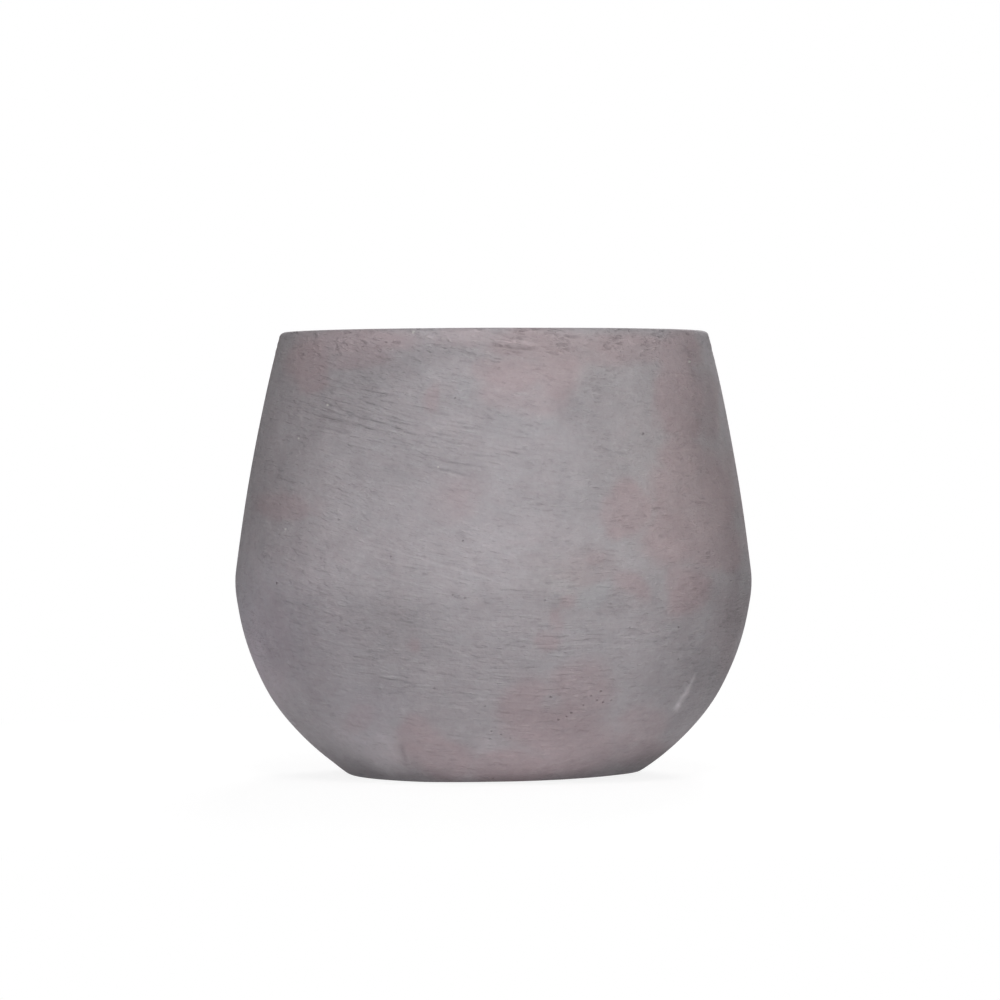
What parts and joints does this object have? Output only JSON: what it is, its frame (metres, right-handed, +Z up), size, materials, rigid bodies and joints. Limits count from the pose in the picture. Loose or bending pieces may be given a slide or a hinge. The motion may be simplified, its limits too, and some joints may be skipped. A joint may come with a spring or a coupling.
{
  "type": "bowl planter",
  "caption": "Round concrete bowl planter: a hollow shell with a rounded lower half and straight tapering side, a lift-out rubber drain plug, and rubber feet recessed under the base.",
  "frame": {"origin": "on the ground, on the planter's vertical axis", "axes": "+Z up along the axis of the round shell; the feet stand on the X and Y axes"},
  "size_m": [0.33, 0.33, 0.283],
  "materials": {
    "concrete": "matte",
    "plug_rubber": "satin",
    "foot_rubber": "matte"
  },
  "bodies": {
    "planter": {"planter_shell": "concrete", "rubber_foot_1": "foot_rubber", "rubber_foot_2": "foot_rubber", "rubber_foot_3": "foot_rubber", "rubber_foot_4": "foot_rubber"},
    "plug": {"drain_plug": "plug_rubber"}
  },
  "joints": [
    {"name": "drain_plug_lift", "type": "slide", "parent": "planter", "child": "plug", "axis": [0, 0, 1], "range_m": [0, 0.3]}
  ]
}
